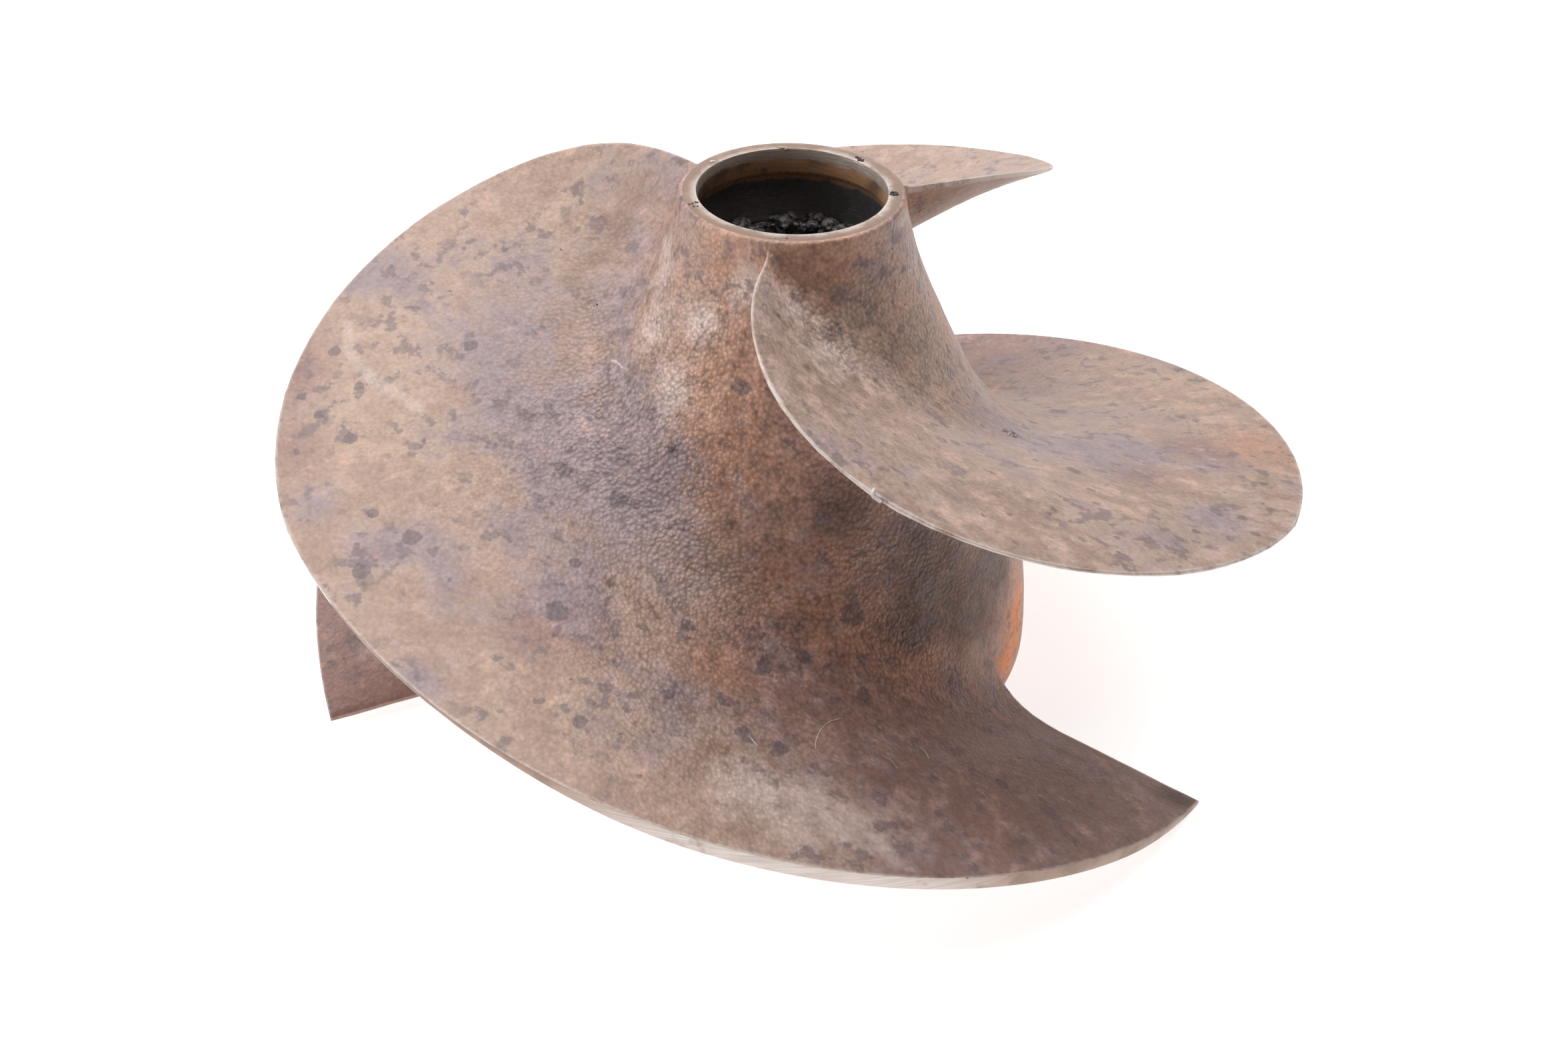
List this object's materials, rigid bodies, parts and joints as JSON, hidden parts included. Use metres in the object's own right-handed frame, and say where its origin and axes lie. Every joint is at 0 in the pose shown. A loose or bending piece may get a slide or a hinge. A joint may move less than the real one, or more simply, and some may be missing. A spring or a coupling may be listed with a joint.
{
  "type": "marine jet impeller",
  "caption": "Cast axial-flow impeller for a marine jet drive: bell hub with a splined nose socket, helical blades with machined tips.",
  "frame": {"origin": "on the shaft axis, in the plane of the wide rear rim that the impeller stands on", "axes": "+Z along the shaft axis to the nose; -Y towards the picture's viewer; +X to the viewer's right"},
  "size_m": [0.155, 0.1549, 0.0783],
  "materials": {
    "bronze": "fine sand-cast bronze with a brown mottled patina, bare and satin on the machined tips and rim",
    "steel": "dark greased steel"
  },
  "bodies": {
    "root": {"impeller_casting": "bronze", "spline_sleeve": "steel"}
  },
  "joints": []
}
